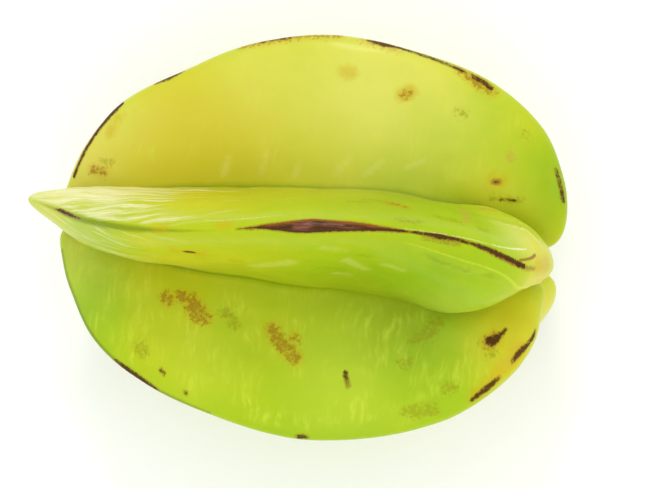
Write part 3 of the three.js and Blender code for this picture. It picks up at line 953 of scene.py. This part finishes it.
def skin_material(finish):
    """Waxy, slightly translucent skin: ripeness, streaks, rub marks and scars."""
    material = bpy.data.materials.new("waxy_fruit_skin")
    n = Nodes(material)
    where = n.add("TexCoord").outputs["Object"]
    fan = n.add("UVMap", uv_map="fan").outputs["UV"]
    measure = n.add("UVMap", uv_map="measure").outputs["UV"]
    mottle = n.noise(where, 420.0, 3.0, 0.6)
    grain = n.noise(where, 1700.0, 2.0, 0.6)
    speck = n.noise(where, 1250.0, 3.0, 0.7)
    cloud, base = ripe_skin(n, where, mottle, finish)
    paint = SkinPaint(n, base)

    # Painted shade: the skin is laid darker olive towards the grooves, and a soft and a thin line
    # of painted shade run along each groove.
    valley_shade = n.step(n.field("away"), 0.55, 1.0)
    paint.layer(valley_shade, 0.22, finish.groove_shade)
    crease_shade = n.stirred(n.field("groove_gap"), mottle, 0.8)
    paint.layer(n.step(crease_shade, 1.3, 0.0), 0.40, finish.shade)
    paint.layer(n.step(n.field("groove_gap"), 0.4, 0.0), 0.55, finish.shade)

    # Painted shade washes, painted light washes, and pale tint with painted sheen.
    paint.layer(n.field("dusk"), 1.0, finish.groove_shade)
    paint.layer(n.field("bright"), 1.0, finish.straw_and_painted_light)
    pallor = n.stirred(1.0, cloud, 0.9)
    paint.layer(n.times(n.field("pallor"), pallor), 1.0, finish.pale)

    # Short, soft, broken streaks across the ribs.
    wave = n.times(n.centred(n.noise(where, 160.0, 2.0)), 0.0032)
    along_fruit_axis = n.add("SeparateXYZ", {"Vector": where}).outputs["X"]
    from_side = n.add("SeparateXYZ", {"Vector": measure}).outputs["X"]
    bent = n.add(
        "CombineXYZ",
        {"X": from_side, "Y": n.maths("ADD", along_fruit_axis, wave), "Z": 0.0}).outputs["Vector"]
    across = n.noise(n.stretched(bent, (210.0, 880.0, 1.0)), 1.0, 4.0, 0.62, 0.4)
    patchy = n.step(n.noise(where, 150.0, 2.0), 0.40, 0.64)
    across = n.times(n.step(across, 0.42, 0.74), n.field("across_streak"))
    across = n.times(across, patchy)
    paint.layer(across, 0.62, finish.straw_and_painted_light)

    # Long, feathery, cream fibres along the top rib from the blossom end. They fan out from the
    # crest, which stands at CREST_COLUMN in the fan map.
    fan_parts = n.add("SeparateXYZ", {"Vector": fan}).outputs
    from_crest = n.maths("ABSOLUTE", n.maths("SUBTRACT", fan_parts["X"], CREST_COLUMN))
    sway = n.times(n.centred(n.noise(where, 140.0, 2.0)), 0.008)
    slant = n.raised(n.maths("ADD", from_crest, sway), fan_parts["Y"], FIBRE_SLANT)
    fibre_map = n.add("CombineXYZ", {"X": slant, "Y": fan_parts["Y"]}).outputs["Vector"]
    cover = n.field("along_streak")
    along = n.noise(n.stretched(fibre_map, (230.0, 10.0, 1.0)), 1.0, 4.0, 0.65, 0.1)
    along = n.raised(along, n.maths("SUBTRACT", cover, 1.0), 0.26)
    along = n.times(n.step(along, 0.36, 0.56), n.step(cover, 0.0, 0.35))
    fibre = n.step(n.noise(n.stretched(fibre_map, (640.0, 20.0, 1.0)), 1.0, 3.0, 0.6), 0.34, 0.60)
    along = n.times(along, n.raised(0.45, fibre, 0.55))
    along = paint.layer(along, 0.85, finish.cream_and_gleam)

    edge = n.step(n.field("crest_gap"), 3.2, 0.4)
    paint.layer(edge, 0.16, finish.lime)

    fine_noise = n.centred(n.noise(where, 2300.0, 2.0, 0.6))
    speckle = n.times(n.centred(speck), 5.5)
    soft = n.times(n.centred(mottle), 3.0)
    thin = n.times(fine_noise, 0.9)

    def mark(kind, waver, outer, inner):
        return n.step(n.maths("ADD", n.field(kind), waver), outer, inner)

    def broken(kind, outer, inner):
        """A mark that stays speckled in its middle."""
        shallow = n.most(n.field(kind), -0.3)
        return n.step(n.maths("ADD", shallow, speckle), outer, inner)

    def fine(kind, waver, outer, inner):
        side = n.maths("ABSOLUTE", n.field(kind + "_side"))
        outside = n.maths("SUBTRACT", side, n.field(kind + "_width"))
        return n.step(n.maths("ADD", outside, waver), outer, inner)

    paint.layer(mark("pale", soft, 0.8, -0.7), 0.22, finish.pale)
    # Painted shade in the furrow under the nose's lower rim.
    paint.layer(mark("shade", soft, 0.7, -0.4), 0.35, finish.shade)
    slight = n.times(fine_noise, 0.5)
    # Painted highlights along the raised rims of the nose.
    paint.layer(mark("rim", thin, 0.35, -0.2), 0.45, finish.pale)
    paint.layer(fine("rim", slight, 0.30, -0.15), 0.50, finish.straw_and_painted_light)
    paint.layer(fine("leaf", slight, 0.55, -0.40), 0.68, finish.leaf)
    paint.layer(broken("blush", 0.7, -0.8), 0.50, finish.blush)
    paint.layer(broken("olive", 0.8, -0.8), 0.55, finish.olive)
    paint.layer(mark("stain", soft, 1.3, -1.0), 0.50, finish.stain)
    paint.layer(n.step(n.field("rust"), 1.6, -0.2), 0.32, finish.stain)
    rust_mark = paint.layer(broken("rust", 0.6, -0.7), 0.74, finish.rust)
    paint.layer(mark("umber", thin, 0.45, -0.3), 0.62, finish.umber)
    paint.layer(n.step(n.field("line"), 0.45, 0.0), 0.42, finish.umber)
    uneven = n.times(n.centred(speck), 1.4)
    line_mark = paint.layer(mark("line", uneven, 0.20, -0.20), 0.88, finish.line)
    paint.layer(fine("dark", slight, 0.42, -0.05), 0.66, finish.umber)
    paint.layer(fine("branch", slight, 0.30, -0.10), 0.80, finish.umber)
    dark_mark = paint.layer(fine("dark", uneven, 0.20, -0.18), 0.90, finish.line)
    # Painted highlight: the pale lines just above the crest.
    paint.layer(fine("pale", slight, 0.22, -0.12), 0.72, finish.cream_and_gleam)
    paint.layer(fine("scar", slight, 0.55, 0.0), 0.60, finish.umber)
    # The scar's own brown, with painted shadow along its lower edge and light flecks of painted
    # highlight.
    lengthwise = n.noise(n.stretched(measure, (1500.0, 260.0, 1.0)), 1.0, 3.0, 0.6)
    highlight_fleck = n.step(lengthwise, 0.42, 0.66)
    scar_tone = n.blend(highlight_fleck, colour(finish.scar), colour(finish.scar_highlight))
    upper_edge = n.maths("SUBTRACT", n.field("scar_width"), n.field("scar_side"))
    scar_tone = n.blend(n.step(upper_edge, 0.7, 0.1), scar_tone, colour(finish.umber))
    lower_edge_shadow = n.maths("ADD", n.field("scar_width"), n.field("scar_side"))
    scar_tone = n.blend(n.step(lower_edge_shadow, 0.9, 0.1), scar_tone, colour(finish.scar))
    scar_mark = paint.layer(fine("scar", slight, 0.20, -0.10), 0.94, scar_tone)
    cork_mark = paint.layer(mark("cork", soft, 0.5, -0.4), 1.0, finish.cork)

    worn = n.most(n.most(line_mark, rust_mark), n.most(cork_mark, dark_mark))
    roughness = n.stirred(finish.roughness, mottle, 0.16)
    roughness = n.maths("MULTIPLY_ADD", worn, 0.28, roughness, clamp=True)

    height = n.times(grain, 0.020)
    height = n.raised(height, along, 0.06)
    height = n.raised(height, across, 0.04)
    height = n.raised(height, mottle, 0.05)
    height = n.raised(height, n.times(worn, grain), 0.16)
    height = n.raised(height, n.times(scar_mark, lengthwise), 0.14)
    # The wax is worn thin in the creases of the grooves.
    polish = n.step(n.field("groove_gap"), 0.1, 1.8)
    bump = n.add("Bump", {"Height": height, "Strength": 0.8, "Distance": 0.001})

    surface = n.add(
        "BsdfPrincipled",
        {
            "Base Color": paint.colour,
            "Roughness": roughness,
            "Normal": bump.outputs["Normal"],
            "IOR": 1.42,
            "Specular IOR Level": n.times(polish, finish.gloss),
            "Specular Tint": (1.0, 1.0, 0.45, 1.0),
            "Subsurface Weight": finish.glow,
            "Subsurface Radius": (1.0, 0.9, 0.25),
            "Subsurface Scale": 0.003,
            "Coat Weight": n.times(polish, finish.wax),
            "Coat Roughness": finish.wax_roughness,
        },
    )
    n.add("OutputMaterial", {"Surface": surface.outputs["BSDF"]})
    return material


def floor_material(paint_tone):
    material = bpy.data.materials.new("plain_pale_floor")
    n = Nodes(material)
    where = n.add("TexCoord").outputs["Object"]
    speck = n.noise(where, 60.0, 2.0)
    dim = [value * FLOOR_DIM for value in paint_tone]
    paint = n.blend(speck, colour(paint_tone), colour(dim))
    surface = n.add("BsdfPrincipled", {"Base Color": paint, "Roughness": 0.9})
    n.add("OutputMaterial", {"Surface": surface.outputs["BSDF"]})
    return material


def add_object(scene, name, data):
    """A new object in the scene."""
    made = bpy.data.objects.new(name, data)
    scene.collection.objects.link(made)
    return made


class FRUIT_OT_skin(bpy.types.Operator):
    """Shape the fruit's skin over its solid and give it its finish"""

    bl_idname = "star_fruit.skin"
    bl_label = "Build skin"

    def execute(self, context):
        form = context.scene.fruit_form
        grid = SkinGrid(form.rings, form.columns_per_flank)
        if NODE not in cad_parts:
            raise RuntimeError("the packed model has no node named " + NODE)
        offset = lying_offset(grid)
        marks = rows_of(MARKS) + unseen_marks(random.Random(UNSEEN_MARK_SEED))
        washes = rows_of(WASHES) + unseen_washes(random.Random(UNSEEN_WASH_SEED))
        fields = mark_fields(grid, marks)
        fields.update(fine_fields(grid, FINE_LINES))
        fields.update(wash_fields(grid, washes))
        fields["along_streak"], fields["across_streak"] = streak_fields(grid)
        fields["crest_gap"] = grid.crest_gap
        fields["groove_gap"] = grid.groove_gap
        fields["away"] = np.broadcast_to(np.abs(grid.across), grid.points.shape[:2])
        from_stem = np.linalg.norm(grid.points - grid.stem, axis=2) - STALK_SCAR_RADIUS
        from_blossom = np.linalg.norm(grid.points - grid.blossom, axis=2) - BLOSSOM_SCAR_RADIUS
        fields["cork"] = np.minimum(np.minimum(from_stem, from_blossom), FIELD_REACH)
        points = grid.points + relief(grid, form)[..., None] * grid.normals()
        mesh = skin_mesh(grid, points, fields, offset)
        skin = add_object(context.scene, "fruit_skin", mesh)
        mesh.materials.append(skin_material(context.scene.fruit_finish))
        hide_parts(NODE)
        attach(skin, BODY)
        context.scene["fruit_offset"] = list(offset)
        return {"FINISHED"}


def square_to(axis, direction):
    """The part of an axis that is square to a direction, as a unit vector."""
    axis = axis - direction * axis.dot(direction)
    return axis / np.linalg.norm(axis)


class FRUIT_OT_studio(bpy.types.Operator):
    """Lay the pale floor and place the soft lights and the camera"""

    bl_idname = "star_fruit.studio"
    bl_label = "Build studio"

    def execute(self, context):
        scene = context.scene
        studio = scene.fruit_studio
        mesh = bpy.data.meshes.new("studio_floor")
        bm = bmesh.new()
        bmesh.ops.create_grid(bm, x_segments=1, y_segments=1, size=studio.floor_size / 2)
        bm.to_mesh(mesh)
        bm.free()
        mesh.materials.append(floor_material(studio.floor_colour))
        add_object(scene, "studio_floor", mesh)

        world = bpy.data.worlds.new("soft_studio")
        world.use_nodes = True
        ground = world.node_tree.nodes["Background"]
        ground.inputs["Color"].default_value = (1.0, 1.0, 1.0, 1.0)
        ground.inputs["Strength"].default_value = studio.fill_strength
        scene.world = world

        for name, place, size, power in LIGHTS:
            self.add_light(scene, name, place, size, getattr(studio, power))
        self.add_camera(scene, studio)
        scene.view_settings.view_transform = "Standard"
        return {"FINISHED"}

    def add_light(self, scene, name, place, size, power):
        light = bpy.data.lights.new(name, "AREA")
        light.shape = "DISK"
        light.size = size
        light.energy = power
        lamp = add_object(scene, name, light)
        place = Vector(place)
        aim = Vector(LIGHT_AIM) - place
        turn = aim.to_track_quat("-Z", "Y").to_matrix().to_4x4()
        lamp.matrix_world = Matrix.Translation(place) @ turn

    def add_camera(self, scene, studio):
        data = bpy.data.cameras.new("camera")
        data.sensor_width = 36.0
        data.lens = studio.camera_lens
        camera = add_object(scene, "camera", data)
        scene.camera = camera
        tilt, yaw, roll = studio.camera_tilt, studio.camera_yaw, studio.camera_roll
        level = math.cos(yaw)
        back = np.array([math.sin(yaw), -math.sin(tilt) * level, math.cos(tilt) * level])
        right = square_to(np.array([1.0, 0.0, 0.0]), back)
        up = np.cross(back, right)
        right, up = (
            right * math.cos(roll) + up * math.sin(roll),
            up * math.cos(roll) - right * math.sin(roll),
        )
        distance = studio.camera_distance / MM
        look = back * distance - right * studio.aim_shift[0] - up * studio.aim_shift[1]
        look /= np.linalg.norm(look)
        right = square_to(right, look)
        up = np.cross(look, right)
        place = along_fruit(back * distance) + Vector(scene["fruit_offset"])
        turn = Matrix([along_fruit(axis).normalized() for axis in (right, up, look)])
        camera.matrix_world = Matrix.Translation(place) @ turn.transposed().to_4x4()


class FRUIT_PT_panel(bpy.types.Panel):
    bl_label = "Star fruit"
    bl_idname = "FRUIT_PT_panel"
    bl_space_type = "VIEW_3D"
    bl_region_type = "UI"
    bl_category = "Star fruit"

    def draw(self, context):
        for operator in ("star_fruit.skin", "star_fruit.studio"):
            self.layout.operator(operator)
        for group in ("fruit_form", "fruit_finish", "fruit_studio"):
            box = self.layout.box()
            settings = getattr(context.scene, group)
            for name in settings.__annotations__:
                box.prop(settings, name)


CLASSES = (
    FRUIT_PG_form,
    FRUIT_PG_finish,
    FRUIT_PG_studio,
    FRUIT_OT_skin,
    FRUIT_OT_studio,
    FRUIT_PT_panel,
)


def register():
    for cls in CLASSES:
        bpy.utils.register_class(cls)
    bpy.types.Scene.fruit_form = bpy.props.PointerProperty(type=FRUIT_PG_form)
    bpy.types.Scene.fruit_finish = bpy.props.PointerProperty(type=FRUIT_PG_finish)
    bpy.types.Scene.fruit_studio = bpy.props.PointerProperty(type=FRUIT_PG_studio)


def unregister():
    del bpy.types.Scene.fruit_studio
    del bpy.types.Scene.fruit_finish
    del bpy.types.Scene.fruit_form
    for cls in reversed(CLASSES):
        bpy.utils.unregister_class(cls)


def main():
    register()
    bpy.ops.star_fruit.skin()
    bpy.ops.star_fruit.studio()


if __name__ == "__main__":
    main()
